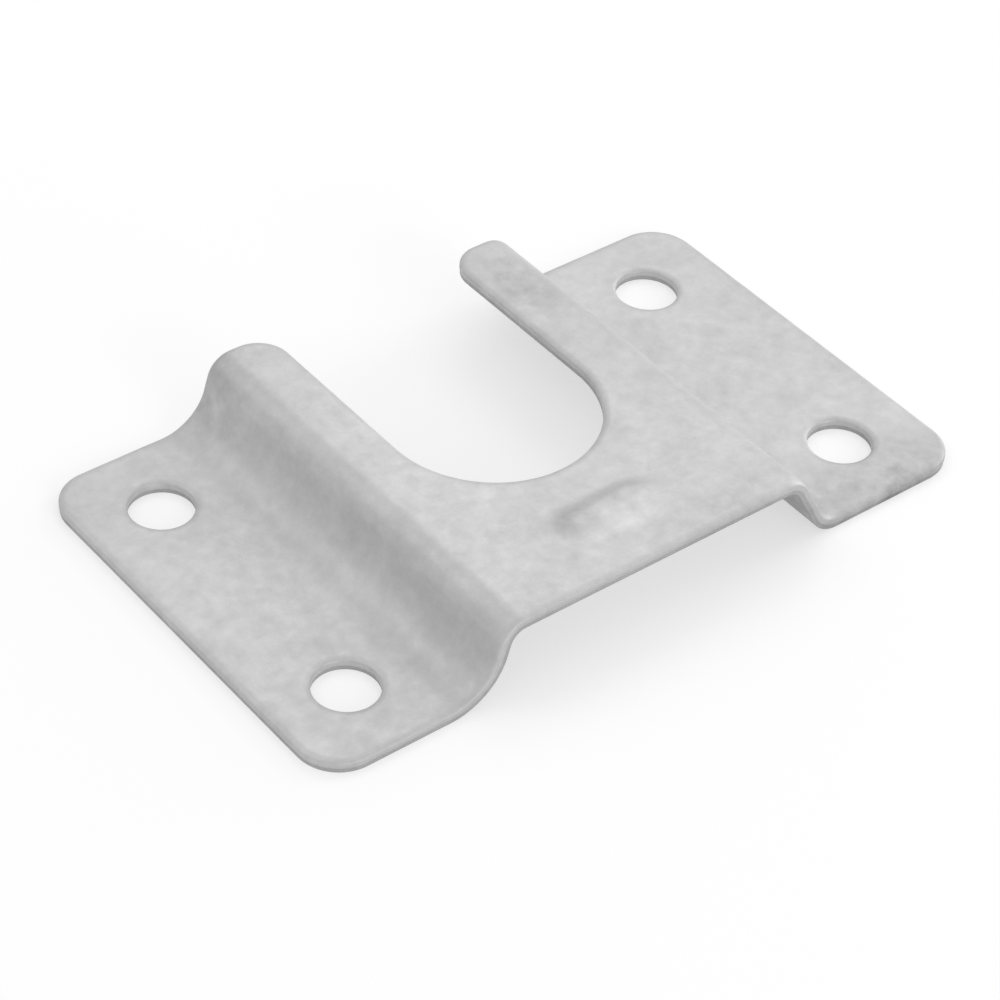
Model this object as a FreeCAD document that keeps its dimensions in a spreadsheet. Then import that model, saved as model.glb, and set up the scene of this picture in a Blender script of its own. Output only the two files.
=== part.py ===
"""Wardrobe rail bracket: one pressed plate of sheet steel.

The sheet is bent into a low hat. A foot at each end lies on the wardrobe's side, and the plate
between them stands clear of it. A U slot, open at the back, takes the end of a round rail, and
the space under the plate takes the flange that keeps the rail from pulling out.

The origin is the middle of the four screw holes, on the plane that the feet stand on.
+X runs along the bracket, +Y towards the slot's open end, +Z from the feet to the plate.
Lengths are in millimetres and angles in degrees.
"""

import FreeCAD
import Part

import math
import os

import Sketcher

SIZES = {
    # the sheet and its section
    "thickness": 1.5,
    "width": 54.0,
    "left_foot": 15.9,
    "right_foot": 19.55,
    "rise": 8.6,
    "corner_radius": 5.2,
    # the two steps, each with its wall's slope and the bends at the wall's ends
    "left_wall": 75.0,
    "left_foot_bend": 5.8,
    "left_plate_bend": 1.9,
    "right_wall": 61.0,
    "right_foot_bend": 3.0,
    "right_plate_bend": 2.2,
    # the slot, and the flat of the plate's arm on either side of it
    "slot_width": 25.5,
    "slot_depth": 37.3,
    "left_arm": 5.2,
    "right_arm": 5.8,
    "tip_radius": 4.0,
    # the screw holes, each from the edges beside it
    "hole_diameter": 7.5,
    "left_inset": 9.5,
    "right_inset": 10.5,
    "side_inset": 9.75,
    # the rib pressed up between the slot and the front edge
    "rib_length": 15.0,
    "rib_width": 6.4,
    "rib_height": 0.5,
    "rib_flank": 2.0,
    "rib_round": 4.0,
    "rib_draw": 0.4,
    # the rounding that the blanking punch leaves along the upper edges
    "edge_roll": 0.4,
}

FOLLOWING = {
    "left_bends": "=(left_foot_bend + left_plate_bend + thickness) * tan(left_wall * 1deg / 2)",
    "right_bends": "=(right_foot_bend + right_plate_bend + thickness) * tan(right_wall * 1deg / 2)",
    "left_step": "=left_bends + rise / tan(left_wall * 1deg)",
    "right_step": "=right_bends + rise / tan(right_wall * 1deg)",
    "plate": "=left_arm + slot_width + right_arm",
    "length": "=left_foot + left_step + plate + right_step + right_foot",
    "hole_spacing_x": "=length - left_inset - right_inset",
    "hole_spacing_y": "=width - 2 * side_inset",
    "left_end": "=hole_spacing_x / 2 + left_inset",
    "slot_middle": "=left_foot + left_step + left_arm + slot_width / 2 - left_end",
    "rib_setback": "=slot_depth / 2",
}

# how far a cutting sketch runs past the edge that it opens
PAST_EDGE = 5.0

# the sketcher's numbers for the origin, the axes and the points of a line or an arc
ORIGIN = (-1, 1)
X_AXIS, Y_AXIS = range(-1, -3, -1)
START, END, CENTRE = range(1, 4)

# what counts as upright and as touching when an edge is looked up by its place
UPRIGHT = 0.01
NEAR = 0.001


def add_sheet(doc):
    """The driving sizes and those that follow from them, one aliased cell each"""
    sheet = doc.addObject("Spreadsheet::Sheet", "sizes")
    for row, (name, value) in enumerate({**SIZES, **FOLLOWING}.items(), start=1):
        sheet.set(f"A{row}", name)
        sheet.set(f"B{row}", str(value))
        sheet.setAlias(f"B{row}", name)
    doc.recompute()
    return sheet


def add_sketch(body, name, plane, height=None):
    """An empty sketch on one of the body's origin planes, or raised above it"""
    sketch = body.newObject("Sketcher::SketchObject", name)
    support = next(f for f in body.Origin.OriginFeatures if f.Role == plane)
    sketch.AttachmentSupport = [(support, "")]
    sketch.MapMode = "FlatFace"
    if height:
        sketch.setExpression("AttachmentOffset.Base.z", height)
    return sketch


def add_line(sketch, x0, y0, x1, y1):
    """A straight line from its start to its end"""
    line = Part.LineSegment(FreeCAD.Vector(x0, y0, 0), FreeCAD.Vector(x1, y1, 0))
    return sketch.addGeometry(line, False)


def add_circle(sketch, x, y, radius):
    circle = Part.Circle(FreeCAD.Vector(x, y, 0), FreeCAD.Vector(0, 0, 1), radius)
    return sketch.addGeometry(circle, False)


def add_arc(sketch, x, y, radius, first, last):
    """An arc drawn counter-clockwise from its first angle to its last"""
    circle = Part.Circle(FreeCAD.Vector(x, y, 0), FreeCAD.Vector(0, 0, 1), radius)
    arc = Part.ArcOfCircle(circle, math.radians(first), math.radians(last))
    return sketch.addGeometry(arc, False)


def constrain(sketch, *rule):
    return sketch.addConstraint(Sketcher.Constraint(*rule))


def value_of(sketch, formula):
    return float(sketch.evalExpression(formula))


def bind(sketch, name, formula, *rule):
    """A named dimension that follows the sheet"""
    index = constrain(sketch, *rule, value_of(sketch, formula))
    sketch.renameConstraint(index, name)
    sketch.setExpression(f"Constraints.{name}", formula)


def add_left_step(sketch, sheet, depth, foot_end, plate_end):
    """The left step's wall, then its foot bend and its plate bend, depth above the underside"""
    angle = sheet.left_wall
    slope = math.radians(angle)
    foot_radius = sheet.left_foot_bend + sheet.thickness - depth
    plate_radius = sheet.left_plate_bend + depth
    foot_centre = sheet.left_foot_bend + sheet.thickness
    plate_centre = sheet.rise - sheet.left_plate_bend
    low_x = foot_end + foot_radius * math.sin(slope)
    low_z = foot_centre - foot_radius * math.cos(slope)
    high_x = plate_end - plate_radius * math.sin(slope)
    high_z = plate_centre + plate_radius * math.cos(slope)
    wall = add_line(sketch, low_x, low_z, high_x, high_z)
    foot_bend = add_arc(sketch, foot_end, foot_centre, foot_radius, -90, angle - 90)
    plate_bend = add_arc(sketch, plate_end, plate_centre, plate_radius, 90, angle + 90)
    return wall, foot_bend, plate_bend


def add_right_step(sketch, sheet, depth, plate_end, foot_end):
    """The right step's wall, then its plate bend and its foot bend, depth above the underside"""
    angle = sheet.right_wall
    slope = math.radians(angle)
    foot_radius = sheet.right_foot_bend + sheet.thickness - depth
    plate_radius = sheet.right_plate_bend + depth
    foot_centre = sheet.right_foot_bend + sheet.thickness
    plate_centre = sheet.rise - sheet.right_plate_bend
    high_x = plate_end + plate_radius * math.sin(slope)
    high_z = plate_centre + plate_radius * math.cos(slope)
    low_x = foot_end - foot_radius * math.sin(slope)
    low_z = foot_centre - foot_radius * math.cos(slope)
    wall = add_line(sketch, high_x, high_z, low_x, low_z)
    plate_bend = add_arc(sketch, plate_end, plate_centre, plate_radius, 90 - angle, 90)
    foot_bend = add_arc(sketch, foot_end, foot_centre, foot_radius, -angle - 90, -90)
    return wall, plate_bend, foot_bend


def add_skin(sketch, sheet, depth):
    """One face of the sheet, depth above its underside, as five flats joined by four bends"""
    left = -sheet.left_end
    foot_left = left + sheet.left_foot
    plate_left = foot_left + sheet.left_step
    plate_right = plate_left + sheet.plate
    foot_right = plate_right + sheet.right_step
    right = foot_right + sheet.right_foot

    left_foot = add_line(sketch, left, depth, foot_left, depth)
    left_wall, *left_bends = add_left_step(sketch, sheet, depth, foot_left, plate_left)
    plate = add_line(sketch, plate_left, sheet.rise + depth, plate_right, sheet.rise + depth)
    right_wall, *right_bends = add_right_step(sketch, sheet, depth, plate_right, foot_right)
    right_foot = add_line(sketch, foot_right, depth, right, depth)
    flats = [left_foot, left_wall, plate, right_wall, right_foot]
    bends = left_bends + right_bends
    # the chain runs from left to right, and the bends beside the plate are drawn against it
    ways = [(START, END), (END, START), (END, START), (START, END)]
    for before, bend, after, (near, far) in zip(flats, bends, flats[1:], ways):
        constrain(sketch, "Tangent", before, END, bend, near)
        constrain(sketch, "Tangent", bend, far, after, START)
    for flat in flats[::2]:
        constrain(sketch, "Horizontal", flat)
    return flats, bends


def add_section(body, sheet):
    """The sheet's closed section across the bracket"""
    sketch = add_sketch(body, "Section", "XZ_Plane")
    under, under_bends = add_skin(sketch, sheet, 0.0)
    upper, upper_bends = add_skin(sketch, sheet, sheet.thickness)
    for inner, outer in zip(upper_bends, under_bends):
        constrain(sketch, "Coincident", inner, CENTRE, outer, CENTRE)

    left = -sheet.left_end
    left_edge = add_line(sketch, left, 0, left, sheet.thickness)
    right_edge = add_line(sketch, left + sheet.length, 0, left + sheet.length, sheet.thickness)
    for edge, flat, point in ((left_edge, 0, START), (right_edge, -1, END)):
        constrain(sketch, "Coincident", edge, START, under[flat], point)
        constrain(sketch, "Coincident", edge, END, upper[flat], point)
        constrain(sketch, "Vertical", edge)
        constrain(sketch, "PointOnObject", under[flat], point, X_AXIS)
    constrain(sketch, "Equal", left_edge, right_edge)

    foot_left, plate, foot_right = under[::2]
    bind(sketch, "LeftEnd", "sizes.left_end", "DistanceX", left_edge, START, *ORIGIN)
    bind(sketch, "LeftFoot", "sizes.left_foot", "DistanceX", foot_left, START, foot_left, END)
    bind(sketch, "LeftStep", "sizes.left_step", "DistanceX", foot_left, END, plate, START)
    bind(sketch, "Plate", "sizes.plate", "DistanceX", plate, START, plate, END)
    bind(sketch, "RightStep", "sizes.right_step", "DistanceX", plate, END, foot_right, START)
    bind(sketch, "RightFoot", "sizes.right_foot", "DistanceX", foot_right, START, foot_right, END)
    bind(sketch, "Rise", "sizes.rise", "DistanceY", foot_left, END, plate, START)
    bind(sketch, "FootSheet", "sizes.thickness", "DistanceY", left_edge, START, left_edge, END)
    bind(sketch, "PlateSheet", "sizes.thickness", "DistanceY", plate, START, upper[2], START)
    bind(sketch, "LeftFootBend", "sizes.left_foot_bend", "Radius", upper_bends[0])
    bind(sketch, "LeftPlateBend", "sizes.left_plate_bend", "Radius", under_bends[1])
    bind(sketch, "RightPlateBend", "sizes.right_plate_bend", "Radius", under_bends[2])
    bind(sketch, "RightFootBend", "sizes.right_foot_bend", "Radius", upper_bends[3])
    return sketch


def add_slot_outline(body, sheet):
    """The U slot in plan, its mouth rounded into the back edge"""
    sketch = add_sketch(body, "SlotOutline", "XY_Plane")
    radius = sheet.slot_width / 2
    tip = sheet.tip_radius
    middle = sheet.slot_middle
    back = sheet.width / 2
    seat_centre = back - sheet.slot_depth + radius
    past = back + PAST_EDGE

    seat = add_arc(sketch, middle, seat_centre, radius, 180, 360)
    left_side = add_line(sketch, middle - radius, seat_centre, middle - radius, back - tip)
    right_side = add_line(sketch, middle + radius, seat_centre, middle + radius, back - tip)
    left_tip = add_arc(sketch, middle - radius - tip, back - tip, tip, 0, 90)
    right_tip = add_arc(sketch, middle + radius + tip, back - tip, tip, 90, 180)
    left_mouth = add_line(sketch, middle - radius - tip, back, middle - radius - tip, past)
    right_mouth = add_line(sketch, middle + radius + tip, back, middle + radius + tip, past)
    across = add_line(sketch, middle - radius - tip, past, middle + radius + tip, past)

    # each side runs from the seat to the line past the edge, and the two tips turn opposite ways
    chains = (
        (START, left_side, left_tip, (START, END), left_mouth),
        (END, right_side, right_tip, (END, START), right_mouth),
    )
    for end, side, corner, (near, far), mouth in chains:
        constrain(sketch, "Tangent", seat, end, side, START)
        constrain(sketch, "Tangent", side, END, corner, near)
        constrain(sketch, "Vertical", side)
        constrain(sketch, "Vertical", corner, far, corner, CENTRE)
        constrain(sketch, "Coincident", corner, far, mouth, START)
        constrain(sketch, "Vertical", mouth)
        constrain(sketch, "Coincident", mouth, END, across, end)
    constrain(sketch, "Horizontal", across)
    constrain(sketch, "Equal", left_tip, right_tip)
    constrain(sketch, "Equal", left_mouth, right_mouth)
    constrain(sketch, "DistanceY", left_mouth, START, left_mouth, END, PAST_EDGE)

    seat_place = "sizes.width / 2 - sizes.slot_depth + sizes.slot_width / 2"
    bind(sketch, "SeatRadius", "sizes.slot_width / 2", "Radius", seat)
    bind(sketch, "SeatX", "sizes.slot_middle", "DistanceX", *ORIGIN, seat, CENTRE)
    bind(sketch, "SeatY", seat_place, "DistanceY", *ORIGIN, seat, CENTRE)
    bind(sketch, "TipRadius", "sizes.tip_radius", "Radius", left_tip)
    bind(sketch, "BackEdge", "sizes.width / 2", "DistanceY", *ORIGIN, left_mouth, START)
    return sketch


def add_hole_places(body, sheet):
    """The four screw holes in plan, alike on both sides of the two axes"""
    sketch = add_sketch(body, "HolePlaces", "XY_Plane")
    radius = sheet.hole_diameter / 2
    reach_x = sheet.hole_spacing_x / 2
    reach_y = sheet.hole_spacing_y / 2
    front_left = add_circle(sketch, -reach_x, -reach_y, radius)
    front_right = add_circle(sketch, reach_x, -reach_y, radius)
    back_left = add_circle(sketch, -reach_x, reach_y, radius)
    back_right = add_circle(sketch, reach_x, reach_y, radius)
    constrain(sketch, "Symmetric", front_left, CENTRE, front_right, CENTRE, Y_AXIS)
    constrain(sketch, "Symmetric", front_left, CENTRE, back_left, CENTRE, X_AXIS)
    constrain(sketch, "Symmetric", front_right, CENTRE, back_right, CENTRE, X_AXIS)
    for hole in (front_right, back_left, back_right):
        constrain(sketch, "Equal", front_left, hole)
    bind(sketch, "HoleSize", "sizes.hole_diameter", "Diameter", front_left)
    bind(sketch, "ReachX", "sizes.hole_spacing_x / 2", "DistanceX", front_left, CENTRE, *ORIGIN)
    bind(sketch, "ReachY", "sizes.hole_spacing_y / 2", "DistanceY", front_left, CENTRE, *ORIGIN)
    return sketch


def add_oblong(body, name, inset, height):
    """The rib's round-ended outline in plan, drawn in by an inset all round"""
    sketch = add_sketch(body, name, "XY_Plane", height)
    end_radius = f"sizes.rib_width / 2 - ({inset})"
    reach = "(sizes.rib_length - sizes.rib_width) / 2"
    radius = value_of(sketch, end_radius)
    half = value_of(sketch, reach)
    x = value_of(sketch, "sizes.slot_middle")
    y = -value_of(sketch, "sizes.rib_setback")
    left = add_arc(sketch, x - half, y, radius, 90, 270)
    right = add_arc(sketch, x + half, y, radius, -90, 90)
    front = add_line(sketch, x - half, y - radius, x + half, y - radius)
    back = add_line(sketch, x + half, y + radius, x - half, y + radius)
    constrain(sketch, "Tangent", left, END, front, START)
    constrain(sketch, "Tangent", front, END, right, START)
    constrain(sketch, "Tangent", right, END, back, START)
    constrain(sketch, "Tangent", back, END, left, START)
    constrain(sketch, "Equal", left, right)
    constrain(sketch, "Horizontal", front)
    bind(sketch, "EndRadius", end_radius, "Radius", left)
    bind(sketch, "LeftReach", f"sizes.slot_middle - {reach}", "DistanceX", *ORIGIN, left, CENTRE)
    bind(sketch, "RightReach", f"sizes.slot_middle + {reach}", "DistanceX", *ORIGIN, right, CENTRE)
    bind(sketch, "Setback", "sizes.rib_setback", "DistanceY", left, CENTRE, *ORIGIN)
    return sketch


def add_loft(body, kind, name, low, high):
    loft = body.newObject(kind, name)
    loft.Profile = low
    loft.Sections = [high]
    loft.Ruled = True
    return loft


def corner_edges(shape, sheet):
    """The four upright edges at the feet's outer corners"""
    left = -sheet.left_end
    right = left + sheet.length
    names = []
    for number, edge in enumerate(shape.Edges, start=1):
        box = edge.BoundBox
        upright = box.XLength < NEAR and box.YLength < NEAR
        if upright and (abs(box.XMin - left) < NEAR or abs(box.XMin - right) < NEAR):
            names.append(f"Edge{number}")
    return names


def rib_edges(shape, sheet):
    """The level edges round the rib and its hollow, at the foot and at the top of their flanks"""
    reach_x = sheet.rib_length / 2 + NEAR
    reach_y = sheet.rib_width / 2 + NEAR
    names = []
    for number, edge in enumerate(shape.Edges, start=1):
        box = edge.BoundBox
        level = box.ZLength < NEAR and box.ZMin > sheet.rise - NEAR
        middle = edge.CenterOfMass
        beside = abs(middle.x - sheet.slot_middle) < reach_x
        if level and beside and abs(middle.y + sheet.rib_setback) < reach_y:
            names.append(f"Edge{number}")
    return names


def rolled_edges(shape):
    """The upper edges of every upright cut: the outline, the slot and the holes"""
    names = []
    for number, edge in enumerate(shape.Edges, start=1):
        faces = shape.ancestorsOfType(edge, Part.Face)
        if len(faces) != 2:
            continue
        point = edge.valueAt((edge.FirstParameter + edge.LastParameter) / 2)
        lifts = sorted(f.normalAt(*f.Surface.parameter(point)).z for f in faces)
        if abs(lifts[0]) < UPRIGHT and lifts[1] > UPRIGHT:
            names.append(f"Edge{number}")
    return names


def add_fillet(body, name, base, edges, radius):
    fillet = body.newObject("PartDesign::Fillet", name)
    fillet.Base = (base, edges)
    fillet.setExpression("Radius", radius)
    return fillet


def build_bracket(doc, sheet):
    body = doc.addObject("PartDesign::Body", "Bracket")
    body.Label = "bracket_plate"

    pressed = body.newObject("PartDesign::Pad", "PressedSheet")
    pressed.Profile = add_section(body, sheet)
    pressed.SideType = "Symmetric"
    pressed.setExpression("Length", "sizes.width")
    doc.recompute()

    upright = corner_edges(pressed.Shape, sheet)
    corners = add_fillet(body, "Corners", pressed, upright, "sizes.corner_radius")

    slot = body.newObject("PartDesign::Pocket", "RailSlot")
    slot.Profile = add_slot_outline(body, sheet)
    slot.Type = "ThroughAll"
    slot.Reversed = True
    doc.recompute()

    holes = body.newObject("PartDesign::Hole", "ScrewHoles")
    holes.Profile = add_hole_places(body, sheet)
    doc.recompute()
    holes.DepthType = "ThroughAll"
    holes.Reversed = True
    holes.setExpression("Diameter", "sizes.hole_diameter")
    doc.recompute()

    # the rib stands above the plate and is hollow underneath, drawn in by the sheet's slope
    plate_top = "sizes.rise + sizes.thickness"
    rib_foot = add_oblong(body, "RibFoot", "0", plate_top)
    rib_top = add_oblong(body, "RibTop", "sizes.rib_flank", plate_top + " + sizes.rib_height")
    add_loft(body, "PartDesign::AdditiveLoft", "Rib", rib_foot, rib_top)
    hollow_foot = add_oblong(body, "HollowFoot", "sizes.rib_draw", "sizes.rise")
    hollow_top = add_oblong(
        body, "HollowTop", "sizes.rib_draw + sizes.rib_flank", "sizes.rise + sizes.rib_height")
    hollow = add_loft(body, "PartDesign::SubtractiveLoft", "RibHollow", hollow_foot, hollow_top)
    doc.recompute()
    soft = add_fillet(body, "SoftRib", hollow, rib_edges(hollow.Shape, sheet), "sizes.rib_round")
    doc.recompute()

    rolled = add_fillet(body, "EdgeRoll", soft, rolled_edges(soft.Shape), "sizes.edge_roll")
    doc.recompute()
    volumes = [step.Shape.Volume for step in (pressed, corners, slot, holes, rolled)]
    if any(after >= before for before, after in zip(volumes, volumes[1:])):
        raise RuntimeError(f"a cut took nothing away: {volumes}")
    return body


def check(doc, bodies):
    """No object has failed, and every piece is one sound solid"""
    for obj in doc.Objects:
        if "Invalid" in obj.State or "Error" in obj.State:
            raise RuntimeError(f"{obj.Label} failed: {obj.State}")
    for body in bodies:
        shape = body.Shape
        if shape.isNull() or not shape.isValid() or len(shape.Solids) != 1:
            raise RuntimeError(f"{body.Label} isn't one sound solid")


def main():
    doc = FreeCAD.newDocument("WardrobeRailBracket")
    sheet = add_sheet(doc)
    bodies = [build_bracket(doc, sheet)]
    check(doc, bodies)
    os.makedirs("parts", exist_ok=True)
    for body in bodies:
        body.Shape.exportStep(f"parts/{body.Label}.step")
        box = body.Shape.optimalBoundingBox(False, False)
        length, width, height = box.XLength, box.YLength, box.ZLength
        print(f"{body.Label}: {length:.2f} x {width:.2f} x {height:.2f} mm, {body.Shape.Volume:.1f} mm3")


main()
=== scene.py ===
import math

import bpy
import numpy as np
from mathutils import Matrix, Vector, noise
from mathutils.geometry import delaunay_2d_cdt


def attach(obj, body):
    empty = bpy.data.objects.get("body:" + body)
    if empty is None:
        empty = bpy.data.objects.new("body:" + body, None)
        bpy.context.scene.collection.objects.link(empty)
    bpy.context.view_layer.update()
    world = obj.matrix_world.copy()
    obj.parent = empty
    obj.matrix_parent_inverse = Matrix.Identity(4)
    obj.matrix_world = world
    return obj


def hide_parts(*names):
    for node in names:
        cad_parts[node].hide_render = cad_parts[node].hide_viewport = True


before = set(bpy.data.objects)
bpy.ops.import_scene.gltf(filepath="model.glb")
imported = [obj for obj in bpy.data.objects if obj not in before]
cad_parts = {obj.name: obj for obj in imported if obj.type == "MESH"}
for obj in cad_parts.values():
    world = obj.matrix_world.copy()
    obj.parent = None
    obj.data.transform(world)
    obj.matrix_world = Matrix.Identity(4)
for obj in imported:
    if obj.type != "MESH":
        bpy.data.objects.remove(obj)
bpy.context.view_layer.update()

MM = 0.001

# the plate's sizes in millimetres, the same as the solid's
THICK = 1.5
WIDTH = 54.0
LEFT_FOOT = 15.9
RIGHT_FOOT = 19.55
RISE = 8.6
CORNER = 5.2
# each step's slope, and the radii inside its foot bend and its plate bend
LEFT_STEP = (math.radians(75.0), 5.8, 1.9)
RIGHT_STEP = (math.radians(61.0), 3.0, 2.2)
SLOT_WIDTH = 25.5
SLOT_DEPTH = 37.3
LEFT_ARM = 5.2
RIGHT_ARM = 5.8
TIP = 4.0
HOLE = 7.5
LEFT_INSET = 9.5
RIGHT_INSET = 10.5
SIDE_INSET = 9.75
RIB_LENGTH = 15.0
RIB_WIDTH = 6.4
RIB_HEIGHT = 0.5
# the rib's flanks in millimetres: how wide the steep one is, how much wider the soft ones are,
# how far they reach beyond the outline, and how far inside it the hollow's own outline lies
RIB_FLANK = 2.2
RIB_SOFT = 1.7
RIB_SPREAD = 0.3
RIB_HOLLOW = 0.4

# the skins aren't dead flat: how far they sink and the size of the swells in millimetres, and a seed
TOP_SWELL = (0.022, 13.0, 3.1)
TOP_RIPPLE = (0.006, 3.4, 7.7)
UNDER_SWELL = (0.012, 11.0, 9.3)
# how far down the cut edge this dies away
SKIN_FADE = 0.3

# the sheared edge from the top skin to the bottom one: inset from the cut, depth below the top,
# and how far the line wanders along the edge, in millimetres
RIM = (
    (1.10, 0.000, 0.00),
    (0.82, 0.006, 0.08),
    (0.62, 0.026, 0.10),
    (0.45, 0.062, 0.08),
    (0.30, 0.115, 0.06),
    (0.17, 0.185, 0.04),
    (0.07, 0.270, 0.02),
    (0.015, 0.360, 0.00),
    (0.000, 0.450, 0.00),
    (0.000, 0.880, 0.06),
    (0.025, 0.950, 0.07),
    (0.090, 1.060, 0.08),
    (0.110, 1.230, 0.05),
    (0.085, 1.400, 0.02),
    (0.070, 1.500, 0.00),
    (0.350, 1.500, 0.00),
    (1.100, 1.500, 0.00),
)
RIM_INSET = RIM[0][0]
# where the rolled edge, the burnished band and the torn break start or end, as lines of the rim
ROLL_STARTS = 2
ROLL_ENDS = 7
BURNISH_STARTS = 8
BURNISH_ENDS = 9
BREAK_ENDS = 13
# the rim's slow waver and its quick one: size in millimetres, and a seed
SLOW_WAVER = (2.3, 20.0)
QUICK_WAVER = (0.7, 40.0)

# how finely the surface is divided, in millimetres
GRID = 1.1
RIB_GRID = 0.28
RIM_STEP = 0.4
STRAIGHT_STEP = 1.4 * RIM_STEP
# how far round the rib the fine points reach, and how far points keep from a corner and from the rims
RIB_MARGIN = 1.2
CORNER_GAP = 0.15
RIM_GAP = 0.32
# in how many parts a bend and a hole's rim are divided, and a rounded corner at least
BEND_PARTS = 16
HOLE_PARTS = 72
ARC_PARTS = 8
# points of the flattened sheet nearer than this would be joined
JOIN_REACH = 1e-7
# how many points are set against the rims at a time
BATCH = 400

# painted shade and painted highlights that stand in for light, among them the shaded bend at the right arm
# and the rib's shaded and lit flanks; the other patches make the top darker or brighter in broad places: X,
# Y, reach along X and Y in millimetres, change of shade
PAINTED_LIGHT_PATCHES = (
    # painted shade where the right arm's edge turns away from the light
    (15.0, 18.0, 6.5, 10.5, -0.090),
    (9.0, -26.0, 12.0, 6.0, -0.050),
    (34.0, -26.0, 19.0, 10.5, -0.130),
    (-23.0, 25.0, 7.0, 10.0, -0.080),
    (-29.0, -20.0, 5.0, 5.0, -0.040),
    # painted shade on the rib's left end and back flank, and a painted highlight on its lit front flank
    (-6.0, -17.7, 4.6, 3.6, -0.110),
    (1.0, -17.3, 7.0, 2.4, -0.060),
    (0.5, -21.0, 9.5, 3.0, 0.080),
    (30.0, 22.0, 9.0, 9.0, 0.045),
    (16.5, -18.5, 5.0, 5.0, 0.040),
    (-38.5, 4.0, 12.0, 34.0, 0.035),
    (-14.5, 1.0, 10.0, 30.0, 0.045),
)
# painted shade over the whole underside, where little light reaches; and how the shade changes on the cut,
# and on the break besides
UNDERSIDE_PAINTED_SHADE = -0.12
CUT_SHADE = -0.035
BREAK_SHADE = -0.07
# how much duller the rolled edge and the break are
ROLL_DULL = 0.06
BREAK_DULL = 0.15
# the zinc's grey, how metallic it is, and how strongly its relief shows
ZINC = 0.63
METALLIC = 0.58
RELIEF = 0.6
# the zinc's noises: features to the millimetre, detail, roughness, and the range that each spans
CLOUD = (0.17, 4.0, 0.6, -0.036, 0.036)
MOTTLE = (0.75, 3.0, 0.65, -0.028, 0.028)
GRAIN = (5.5, 2.0, 0.6, -0.018, 0.018)
# the noise that breaks up the painted shade and painted highlights
PAINTED_LIGHT_BREAKS = (0.4, 3.0, 0.6, 0.4, 1.6)
DULLNESS = (0.5, 4.0, 0.6, 0.46, 0.60)
FINE_GRAIN = (6.5, 3.0, 0.6, 0.0, 0.004)
PEEL = (1.1, 3.0, 0.55, 0.0, 0.012)
TORN_GRAIN = (3.0, 4.0, 0.7, 0.0, 0.05)
# the part of a plain noise that is stretched over that range
NOISE_LOW = 0.3
NOISE_HIGH = 0.7
# the pits: how many to the millimetre, how wide as a share of their spacing, and how deep
PITS = 0.22
PIT_WIDTH = 0.07
PIT_DEPTH = 0.02

# the floor: half its side and its drop below the feet in metres, its grey, its roughness and its glow
FLOOR_REACH = 6.0
FLOOR_DROP = 0.00002
FLOOR_GREY = 0.50
FLOOR_ROUGH = 0.9
FLOOR_GLOW = 0.55
WORLD_LIGHT = 0.62
WHITE = (1.0, 1.0, 1.0, 1.0)
# the lamps: distance and width in metres, then name, turn from +X towards +Y, height above the floor
# in degrees, and power in watts
LAMP_REACH = 0.9
LAMP_SIZE = 0.5
LAMPS = (
    ("front_low", 270.0, 20.0, 1.60),
    ("right_low", 0.0, 20.0, 2.10),
    ("back_right_high", 45.0, 50.0, 0.88),
    ("back_left_high", 135.0, 50.0, 0.60),
)
# the camera: lens and sensor in millimetres, distances and aim in metres, angles in degrees
CAMERA = {
    "lens": 118.005,
    "sensor": 36.0,
    "distance": 0.36707,
    "elevation": 40.8495,
    "turn": -40.832,
    "roll": 4.1301,
    "aim": (-0.0025514, -0.0020049, 0.0),
    "nearest": 0.01,
    "farthest": 50.0,
}


class Section:
    """The middle of the sheet's thickness as a path in X and Z, followed by its own length"""

    def __init__(self):
        left_run, left_bends = self.step(*LEFT_STEP)
        right_run, right_bends = self.step(*RIGHT_STEP)
        plate = LEFT_ARM + SLOT_WIDTH + RIGHT_ARM
        length = LEFT_FOOT + left_run + plate + right_run + RIGHT_FOOT
        self.left = -(length - LEFT_INSET - RIGHT_INSET) / 2 - LEFT_INSET
        self.right = self.left + length
        rule = [(LEFT_FOOT, 0)] + left_bends + [(plate, 0)] + right_bends[::-1] + [(RIGHT_FOOT, 0)]
        self.parts = []
        run, x, z, heading = 0.0, self.left, THICK / 2, 0.0
        for size, bend in rule:
            self.parts.append((run, size, x, z, heading, bend))
            x, z, heading = self.follow(size, x, z, heading, bend)
            run += size
        self.run = run
        self.plate_start = self.parts[4][0]
        self.plate_x = self.parts[4][2]
        self.foot_start = self.parts[8][0]
        self.foot_x = self.parts[8][2]

    def step(self, slope, foot_bend, plate_bend):
        """How far a step runs along X, and its foot bend, wall and plate bend as lengths and curvatures"""
        low = foot_bend + THICK / 2
        high = plate_bend + THICK / 2
        wall = (RISE - (low + high) * (1 - math.cos(slope))) / math.sin(slope)
        run = (low + high) * math.sin(slope) + wall * math.cos(slope)
        return run, [(low * slope, 1 / low), (wall, 0), (high * slope, -1 / high)]

    def follow(self, size, x, z, heading, bend):
        """Where a straight or bent part of this size leads, and the heading there"""
        if bend == 0:
            return x + size * math.cos(heading), z + size * math.sin(heading), heading
        after = heading + size * bend
        x += (math.sin(after) - math.sin(heading)) / bend
        z += (math.cos(heading) - math.cos(after)) / bend
        return x, z, after

    def place(self, run):
        """The point of the middle line at this run, and the way the top skin faces there"""
        start, _, x, z, heading, bend = next(
            p for p in reversed(self.parts) if run >= p[0] or p is self.parts[0])
        x, z, heading = self.follow(run - start, x, z, heading, bend)
        return x, z, -math.sin(heading), math.cos(heading)

    def run_of(self, x):
        """The run at a place on one of the three flats"""
        if x < self.left + LEFT_FOOT:
            return x - self.left
        if x < self.foot_x:
            return self.plate_start + x - self.plate_x
        return self.foot_start + x - self.foot_x

    def stations(self):
        """Runs at which the surface is divided: wide on the flats, narrow round the bends"""
        runs = []
        for start, size, _, _, _, bend in self.parts:
            count = math.ceil(size / GRID) if bend == 0 else BEND_PARTS
            runs += [start + size * i / count for i in range(count)]
        return runs + [self.run]


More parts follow.
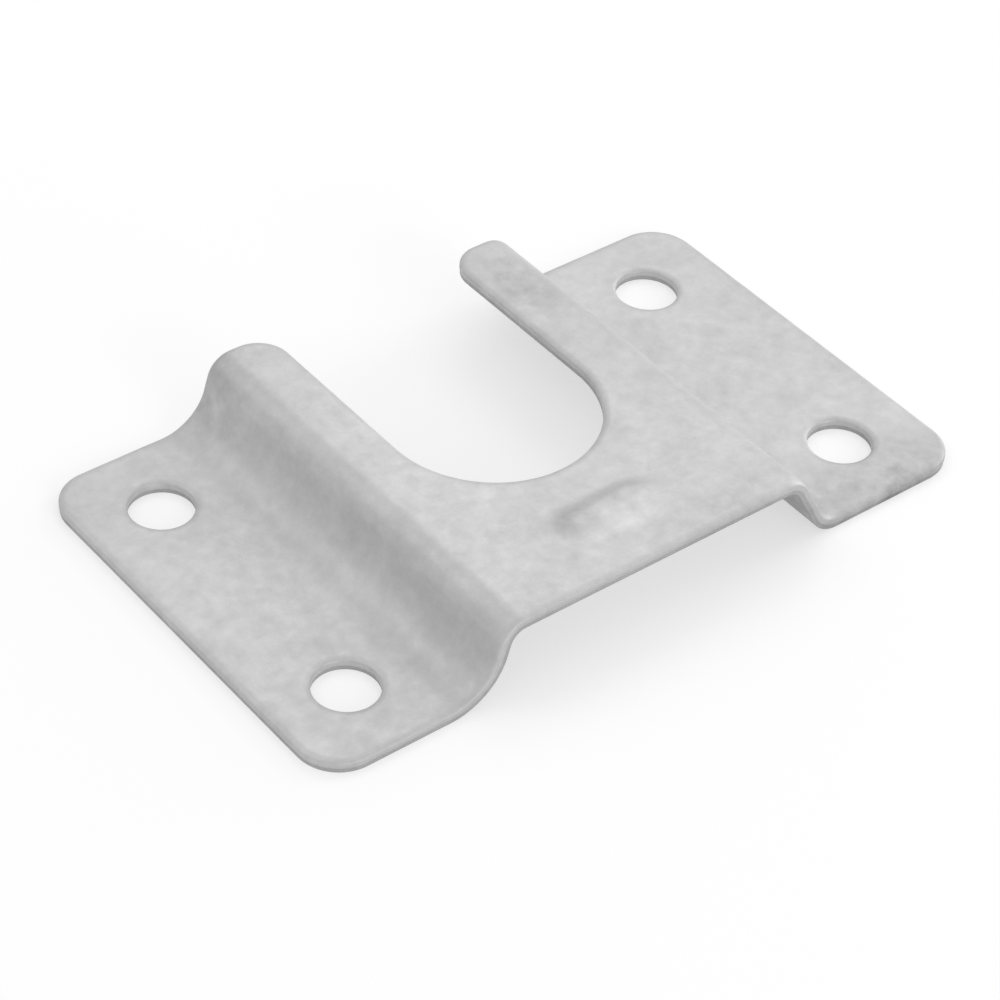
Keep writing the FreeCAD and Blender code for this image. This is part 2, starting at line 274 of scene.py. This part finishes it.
SECTION = Section()
SLOT_MIDDLE = SECTION.plate_x + LEFT_ARM + SLOT_WIDTH / 2
SLOT_RUN = SECTION.run_of(SLOT_MIDDLE)
SEAT_Y = WIDTH / 2 - SLOT_DEPTH + SLOT_WIDTH / 2
RIB_Y = -SLOT_DEPTH / 2
HOLES = [(x, y)
         for x in (SECTION.left + LEFT_INSET, SECTION.right - RIGHT_INSET)
         for y in (SIDE_INSET - WIDTH / 2, WIDTH / 2 - SIDE_INSET)]


def arc(u, v, radius, first, last, facing):
    """Points of an arc of the outline, each with the way into the sheet; facing is -1 towards the centre"""
    count = max(ARC_PARTS, math.ceil(abs(last - first) * math.pi / 180 * radius / RIM_STEP))
    out = []
    for i in range(1, count):
        a = math.radians(first + (last - first) * i / count)
        c, s = math.cos(a), math.sin(a)
        out.append((u + radius * c, v + radius * s, facing * c, facing * s))
    return out


def straight(u0, v0, u1, v1, nu, nv):
    """Points of a straight stretch, at the surface's own stations where it crosses the bends"""
    if v0 == v1:
        low, high = min(u0, u1), max(u0, u1)
        stations = SECTION.stations()
        inner = []
        for a, b in zip(stations, stations[1:]):
            count = math.ceil((b - a) / STRAIGHT_STEP)
            inner += [a + (b - a) * i / count for i in range(count)]
        runs = [low] + [r for r in inner if low + CORNER_GAP < r < high - CORNER_GAP] + [high]
        if u1 < u0:
            runs.reverse()
        return [(r, v0, nu, nv) for r in runs]
    count = math.ceil(abs(v1 - v0) / STRAIGHT_STEP)
    return [(u0, v0 + (v1 - v0) * i / count, nu, nv) for i in range(count + 1)]


def outline():
    """The blank's edge, all the way round, as it lies on the flattened sheet"""
    half = WIDTH / 2
    end = SECTION.run
    low, high = SLOT_RUN - SLOT_WIDTH / 2, SLOT_RUN + SLOT_WIDTH / 2
    r = CORNER
    loop = straight(r, -half, end - r, -half, 0, 1)
    loop += arc(end - r, r - half, r, -90, 0, -1)
    loop += straight(end, r - half, end, half - r, -1, 0)
    loop += arc(end - r, half - r, r, 0, 90, -1)
    loop += straight(end - r, half, high + TIP, half, 0, -1)
    loop += arc(high + TIP, half - TIP, TIP, 90, 180, -1)
    loop += straight(high, half - TIP, high, SEAT_Y, 1, 0)
    loop += arc(SLOT_RUN, SEAT_Y, SLOT_WIDTH / 2, 0, -180, 1)
    loop += straight(low, SEAT_Y, low, half - TIP, -1, 0)
    loop += arc(low - TIP, half - TIP, TIP, 0, 90, -1)
    loop += straight(low - TIP, half, r, half, 0, -1)
    loop += arc(r, half - r, r, 90, 180, -1)
    loop += straight(0, half - r, 0, r - half, 1, 0)
    loop += arc(r, r - half, r, 180, 270, -1)
    return loop


def hole_loop(x, y):
    """A hole's edge on the flattened sheet, each point with the way into the sheet"""
    u = SECTION.run_of(x)
    ring = []
    for i in range(HOLE_PARTS):
        a = -2 * math.pi * i / HOLE_PARTS
        ring.append((u + HOLE / 2 * math.cos(a), y + HOLE / 2 * math.sin(a), math.cos(a), math.sin(a)))
    return ring


def oblong(u, v, shrink):
    """How far inside the rib's outline a place is, less than nothing outside it"""
    reach = (RIB_LENGTH - RIB_WIDTH) / 2
    along = abs(u - SLOT_RUN)
    return RIB_WIDTH / 2 - shrink - math.hypot(max(along - reach, 0.0), v - RIB_Y)


def smooth(t):
    """A soft step from 0 to 1"""
    t = min(max(t, 0.0), 1.0)
    return t * t * t * (t * (6 * t - 15) + 10)


def rib_lift(u, v, under):
    """The pressed rib's height, and that of the hollow beneath it: steep behind, softer elsewhere"""
    inside = oblong(u, v, RIB_HOLLOW if under else 0.0)
    # along runs from -0.5 to 0.5 over the rib; its left end is a little steeper than its right one
    along = (u - SLOT_RUN) / RIB_LENGTH
    front = smooth(0.5 - (v - RIB_Y) / RIB_WIDTH)
    left = 0.7 * smooth(0.4 - along)
    right = smooth(3.0 * along - 0.4)
    flank = RIB_FLANK + RIB_SOFT * max(front, left, right)
    t = min(max((inside + RIB_SPREAD) / flank, 0.0), 1.0)
    return RIB_HEIGHT * t * t * (3 - 2 * t)


def waver(u, v, size, seed):
    """Smooth unevenness from -1 to 1 over the flattened sheet"""
    return noise.noise(Vector((u / size, v / size, seed)))


def sink(u, v, depth, size, seed):
    """How far a skin sinks into the sheet at a place, depth on average"""
    return depth * (1 + waver(u, v, size, seed))


def point(u, v, inset, depth, nu, nv):
    """The place in space of a point of the flattened sheet, in metres"""
    u += nu * inset
    v += nv * inset
    x, z, nx, nz = SECTION.place(u)
    rise = THICK / 2 - depth
    if depth < 0.5 * THICK:
        fade = smooth(1 - depth / SKIN_FADE)
        rise -= sink(u, v, *TOP_SWELL) * fade
        rise -= sink(u, v, *TOP_RIPPLE) * fade
        rise += rib_lift(u, v, False)
    else:
        fade = smooth(1 - (THICK - depth) / SKIN_FADE)
        rise += sink(u, v, *UNDER_SWELL) * fade
        rise += rib_lift(u, v, True)
    return ((x + nx * rise) * MM, v * MM, (z + nz * rise) * MM)


def skin_borders(rings):
    """Where the skins meet the rims, on the flattened sheet"""
    return [(u + nu * RIM_INSET, v + nv * RIM_INSET) for ring in rings for u, v, nu, nv in ring]


def near_rims(points, rings):
    """Which points lie too near the rims"""
    edge = np.array(skin_borders(rings))
    close = np.zeros(len(points), bool)
    for i in range(0, len(points), BATCH):
        part = points[i:i + BATCH]
        gap = np.hypot(part[:, None, 0] - edge[None, :, 0], part[:, None, 1] - edge[None, :, 1])
        close[i:i + BATCH] = gap.min(1) < RIM_GAP
    return close


def in_skin(points):
    """Which places of the flattened sheet are metal and lie inside every rim"""
    u, v = points[:, 0], points[:, 1]
    half = WIDTH / 2
    slot = SLOT_WIDTH / 2
    du = np.maximum(np.abs(u - SECTION.run / 2) - (SECTION.run / 2 - CORNER), 0)
    dv = np.maximum(np.abs(v) - (half - CORNER), 0)
    metal = np.hypot(du, dv) < CORNER - RIM_INSET
    across = np.abs(u - SLOT_RUN)
    seat = np.hypot(across, v - SEAT_Y) < slot + RIM_INSET
    mouth = (across < slot + RIM_INSET) & (v > SEAT_Y)
    metal &= ~(seat | mouth)
    tip = (across < slot + TIP) & (v > half - TIP)
    beyond = np.hypot(across - slot - TIP, v - half + TIP) > TIP - RIM_INSET
    metal &= ~(tip & beyond)
    for x, y in HOLES:
        metal &= np.hypot(u - SECTION.run_of(x), v - y) > HOLE / 2 + RIM_INSET
    return metal


def grid_points(rings):
    """Places between the rims where the surface is divided, finer over the rib"""
    rows = math.ceil(WIDTH / GRID)
    v = [WIDTH * (i / rows - 0.5) for i in range(1, rows)]
    wide = np.array([(a, b) for a in SECTION.stations() for b in v])
    reach_u = RIB_LENGTH / 2 + RIB_MARGIN
    reach_v = RIB_WIDTH / 2 + RIB_MARGIN
    over_rib = (np.abs(wide[:, 0] - SLOT_RUN) < reach_u) & (np.abs(wide[:, 1] - RIB_Y) < reach_v)
    wide = wide[~over_rib]
    cols = math.ceil(2 * reach_u / RIB_GRID)
    lines = math.ceil(2 * reach_v / RIB_GRID)
    fine = np.array([(SLOT_RUN - reach_u + 2 * reach_u * i / cols, RIB_Y - reach_v + 2 * reach_v * j / lines)
                     for i in range(cols + 1) for j in range(lines + 1)])
    points = np.concatenate([wide, fine])
    points = points[in_skin(points)]
    return points[~near_rims(points, rings)]


def edge_play(u, v, play, number, level):
    """How far a line of the rim wanders at a place: a slow waver, and a quick one half as strong"""
    slow = waver(u, v, SLOW_WAVER[0], SLOW_WAVER[1] + number)
    quick = waver(u, v, QUICK_WAVER[0], QUICK_WAVER[1] + level)
    return play * slow + 0.5 * play * quick


def rim_rows(ring, number, verts, rim):
    """Adds one edge's points, a row for each line of the rim, and returns the rows"""
    rows = []
    for level, (inset, depth, play) in enumerate(RIM):
        rolled = level < BURNISH_STARTS
        row = []
        for u, v, nu, nv in ring:
            shake = edge_play(u, v, play, number, level)
            aside = shake if rolled else 0.0
            down = 0.0 if rolled else shake
            row.append(len(verts))
            verts.append(point(u, v, inset + aside, depth + down, nu, nv))
            rim.append(level)
        rows.append(row)
    return rows


def rim_faces(rows):
    """The faces between the rows of one edge"""
    count = len(rows[0])
    faces = []
    for upper, lower in zip(rows, rows[1:]):
        for i in range(count):
            j = (i + 1) % count
            faces.append((upper[i], lower[i], lower[j], upper[j]))
    return faces


def skin_triangles(rings, inner):
    """Triangles that join the rims' borders and the inner points wherever there is metal"""
    edges, start = [], 0
    for ring in rings:
        count = len(ring)
        edges += [(start + i, start + (i + 1) % count) for i in range(count)]
        start += count
    plan = [Vector(p) for p in skin_borders(rings)] + [Vector(p) for p in inner]
    out, _, triangles, origin, _, _ = delaunay_2d_cdt(plan, edges, [], 0, JOIN_REACH)
    if len(out) != len(plan):
        raise RuntimeError("the surface's points moved when they were joined")
    middle = np.array([[sum(out[i][k] for i in t) / 3 for k in (0, 1)] for t in triangles])
    return [[origin[i][0] for i in t] for t, keep in zip(triangles, in_skin(middle)) if keep]


def keep_on_points(mesh, name, values):
    """Keeps a number on each point, for the material to read"""
    mesh.attributes.new(name, "FLOAT", "POINT").data.foreach_set("value", values)


def mark_points(mesh, verts, rim):
    """Tells the material where the cut, the break and the rolled edge are, and where shade and highlights
    are painted
    """
    # painted shade over the underside, and painted shade and highlight patches on top
    painted_shades = [UNDERSIDE_PAINTED_SHADE if r > BREAK_ENDS else painted_patch_shade(x / MM, y / MM)
              for (x, y, _), r in zip(verts, rim)]
    keep_on_points(mesh, "cut", [1.0 if ROLL_ENDS <= r <= BREAK_ENDS else 0.0 for r in rim])
    keep_on_points(mesh, "broken", [1.0 if BURNISH_ENDS < r <= BREAK_ENDS else 0.0 for r in rim])
    keep_on_points(mesh, "rolled", [1.0 if ROLL_STARTS <= r <= ROLL_ENDS else 0.0 for r in rim])
    keep_on_points(mesh, "painted_shade_and_light", painted_shades)


def painted_patch_shade(x, y):
    """How much the painted shade and painted highlight patches change the zinc's grey at a place"""
    shade = 0.0
    for middle_x, middle_y, reach_x, reach_y, change in PAINTED_LIGHT_PATCHES:
        away = math.hypot((x - middle_x) / reach_x, (y - middle_y) / reach_y)
        shade += change * smooth(1 - away)
    return shade


def sheet_mesh():
    """The whole plate as one closed mesh"""
    rings = [outline()] + [hole_loop(x, y) for x, y in HOLES]
    verts, faces, rim = [], [], []
    top_border, under_border = [], []
    for number, ring in enumerate(rings):
        rows = rim_rows(ring, number, verts, rim)
        faces += rim_faces(rows)
        top_border += rows[0]
        under_border += rows[-1]

    inner = grid_points(rings)
    triangles = skin_triangles(rings, inner)
    for border, depth, level in ((top_border, 0.0, 0), (under_border, THICK, len(RIM) - 1)):
        index = border + list(range(len(verts), len(verts) + len(inner)))
        verts += [point(u, v, 0.0, depth, 0.0, 0.0) for u, v in inner]
        rim += [level] * len(inner)
        skin = [tuple(index[i] for i in t) for t in triangles]
        faces += skin if level == 0 else [t[::-1] for t in skin]

    mesh = bpy.data.meshes.new("pressed_plate")
    mesh.from_pydata(verts, [], faces)
    mesh.validate()
    mesh.polygons.foreach_set("use_smooth", [True] * len(mesh.polygons))
    mark_points(mesh, verts, rim)
    return mesh


def link(tree, source, target):
    tree.links.new(source, target)


def add_node(tree, kind, **values):
    """A shader node with some of its inputs or settings given"""
    node = tree.nodes.new(kind)
    for name, value in values.items():
        if hasattr(node, name):
            setattr(node, name, value)
        else:
            node.inputs[name].default_value = value
    return node


def math_node(tree, operation, a, b):
    """A sum, product or the like of two sockets or numbers"""
    node = tree.nodes.new("ShaderNodeMath")
    node.operation = operation
    for socket, value in zip(node.inputs, (a, b)):
        if isinstance(value, (int, float)):
            socket.default_value = value
        else:
            link(tree, value, socket)
    return node.outputs["Value"]


def total(tree, first, *others):
    """The sum of some sockets or numbers"""
    for value in others:
        first = math_node(tree, "ADD", first, value)
    return first


def stretch(tree, value, old_low, old_high, low, high):
    """A value taken from one range to another, and kept within it"""
    span = add_node(tree, "ShaderNodeMapRange")
    for name, number in (("From Min", old_low), ("From Max", old_high), ("To Min", low), ("To Max", high)):
        span.inputs[name].default_value = number
    link(tree, value, span.inputs["Value"])
    return span.outputs["Result"]


def add_noise(tree, place, scale, detail, rough, low, high):
    """Noise over the surface, scale features to the millimetre, stretched from low to high"""
    node = add_node(tree, "ShaderNodeTexNoise", Scale=scale, Detail=detail, Roughness=rough)
    link(tree, place, node.inputs["Vector"])
    return stretch(tree, node.outputs["Fac"], NOISE_LOW, NOISE_HIGH, low, high)


def kept_value(tree, name):
    """A number kept on the mesh's points"""
    return add_node(tree, "ShaderNodeAttribute", attribute_name=name).outputs["Fac"]


def zinc_shade(tree, place):
    """The zinc's grey: a soft mottle and fine grain, painted shade and painted highlights, and a darker cut
    and break
    """
    cloud = add_noise(tree, place, *CLOUD)
    mottle = add_noise(tree, place, *MOTTLE)
    grain = add_noise(tree, place, *GRAIN)
    cut = math_node(tree, "MULTIPLY", kept_value(tree, "cut"), CUT_SHADE)
    broken = math_node(tree, "MULTIPLY", kept_value(tree, "broken"), BREAK_SHADE)
    breaks = add_noise(tree, place, *PAINTED_LIGHT_BREAKS)
    # the painted shade and painted highlights, broken up by a noise
    patches = math_node(tree, "MULTIPLY", kept_value(tree, "painted_shade_and_light"), breaks)
    return total(tree, cloud, mottle, grain, cut, broken, patches, ZINC)


def zinc_dullness(tree, place):
    """The zinc's roughness, a little higher on the rolled edge and the break"""
    rolled = math_node(tree, "MULTIPLY", kept_value(tree, "rolled"), ROLL_DULL)
    broken = math_node(tree, "MULTIPLY", kept_value(tree, "broken"), BREAK_DULL)
    return total(tree, add_noise(tree, place, *DULLNESS), rolled, broken)


def zinc_relief(tree, place):
    """The plating's fine grain, a softer orange peel, pits here and there and the break's torn grain"""
    fine = add_noise(tree, place, *FINE_GRAIN)
    peel = add_noise(tree, place, *PEEL)
    cells = add_node(tree, "ShaderNodeTexVoronoi", Scale=PITS)
    link(tree, place, cells.inputs["Vector"])
    pits = stretch(tree, cells.outputs["Distance"], 0.0, PIT_WIDTH, -PIT_DEPTH, 0.0)
    torn = math_node(tree, "MULTIPLY", kept_value(tree, "broken"), add_noise(tree, place, *TORN_GRAIN))
    bump = add_node(tree, "ShaderNodeBump", Strength=RELIEF, Distance=MM)
    link(tree, total(tree, fine, peel, pits, torn), bump.inputs["Height"])
    return bump.outputs["Normal"]


def zinc():
    """Dull zinc plate, its pattern measured in millimetres on the piece"""
    material = bpy.data.materials.new("zinc_plate")
    material.use_nodes = True
    tree = material.node_tree
    shader = tree.nodes["Principled BSDF"]
    shader.inputs["Metallic"].default_value = METALLIC
    coordinates = add_node(tree, "ShaderNodeTexCoord")
    scaled = add_node(tree, "ShaderNodeMapping")
    scaled.inputs["Scale"].default_value = (1 / MM, 1 / MM, 1 / MM)
    link(tree, coordinates.outputs["Object"], scaled.inputs["Vector"])
    place = scaled.outputs["Vector"]
    link(tree, zinc_shade(tree, place), shader.inputs["Base Color"])
    link(tree, zinc_dullness(tree, place), shader.inputs["Roughness"])
    link(tree, zinc_relief(tree, place), shader.inputs["Normal"])
    return material


def white_floor():
    """A plain pale floor: white to the camera and in the metal, with the object's shadow on it"""
    material = bpy.data.materials.new("floor_white")
    material.use_nodes = True
    tree = material.node_tree
    shader = tree.nodes["Principled BSDF"]
    shader.inputs["Base Color"].default_value = (FLOOR_GREY, FLOOR_GREY, FLOOR_GREY, 1.0)
    shader.inputs["Roughness"].default_value = FLOOR_ROUGH
    shader.inputs["Specular IOR Level"].default_value = 0.0
    shader.inputs["Emission Color"].default_value = WHITE
    seen = add_node(tree, "ShaderNodeLightPath")
    white = math_node(tree, "MAXIMUM", seen.outputs["Is Camera Ray"], seen.outputs["Is Glossy Ray"])
    white = math_node(tree, "MAXIMUM", white, seen.outputs["Is Transmission Ray"])
    link(tree, math_node(tree, "MULTIPLY", white, FLOOR_GLOW), shader.inputs["Emission Strength"])
    return material


def add_floor():
    """A wide floor, just low enough not to share a plane with the feet"""
    low, high = -FLOOR_REACH, FLOOR_REACH
    corners = [(x, y, -FLOOR_DROP) for x, y in ((low, low), (high, low), (high, high), (low, high))]
    mesh = bpy.data.meshes.new("floor")
    mesh.from_pydata(corners, [], [(0, 1, 2, 3)])
    mesh.materials.append(white_floor())
    floor = bpy.data.objects.new("floor", mesh)
    bpy.context.scene.collection.objects.link(floor)


def add_world():
    """Soft light from all round"""
    world = bpy.data.worlds.new("studio")
    bpy.context.scene.world = world
    world.use_nodes = True
    background = world.node_tree.nodes["Background"]
    background.inputs["Color"].default_value = WHITE
    background.inputs["Strength"].default_value = WORLD_LIGHT


def add_lamp(name, turn, height, power):
    """A soft round lamp that faces the middle of the frame"""
    a, h = math.radians(turn), math.radians(height)
    place = Vector((math.cos(h) * math.cos(a), math.cos(h) * math.sin(a), math.sin(h))) * LAMP_REACH
    light = bpy.data.lights.new(name, "AREA")
    light.shape = "DISK"
    light.size = LAMP_SIZE
    light.energy = power
    lamp = bpy.data.objects.new(name, light)
    bpy.context.scene.collection.objects.link(lamp)
    lamp.location = place
    lamp.rotation_euler = (-place).normalized().to_track_quat("-Z", "Y").to_euler()


def add_camera():
    """The photograph's viewpoint: a long lens, from the front left and above"""
    elevation, turn, roll = (math.radians(CAMERA[name]) for name in ("elevation", "turn", "roll"))
    level = math.cos(elevation)
    back = Vector((math.sin(turn) * level, -math.cos(turn) * level, math.sin(elevation)))
    right = Vector((math.cos(turn), math.sin(turn), 0.0))
    up = back.cross(right)
    across = math.cos(roll) * right + math.sin(roll) * up
    above = math.cos(roll) * up - math.sin(roll) * right
    facing = Matrix((across, above, back)).transposed().to_4x4()
    data = bpy.data.cameras.new("camera")
    data.sensor_width = CAMERA["sensor"]
    data.lens = CAMERA["lens"]
    data.clip_start = CAMERA["nearest"]
    data.clip_end = CAMERA["farthest"]
    camera = bpy.data.objects.new("camera", data)
    bpy.context.scene.collection.objects.link(camera)
    camera.matrix_world = Matrix.Translation(Vector(CAMERA["aim"]) + back * CAMERA["distance"]) @ facing
    bpy.context.scene.camera = camera


def main():
    plate = bpy.data.objects.new("pressed_plate", sheet_mesh())
    bpy.context.scene.collection.objects.link(plate)
    plate.data.materials.append(zinc())
    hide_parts("bracket_plate")
    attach(plate, "root")
    add_floor()
    add_world()
    for lamp in LAMPS:
        add_lamp(*lamp)
    add_camera()
    bpy.context.scene.view_settings.view_transform = "Standard"


main()
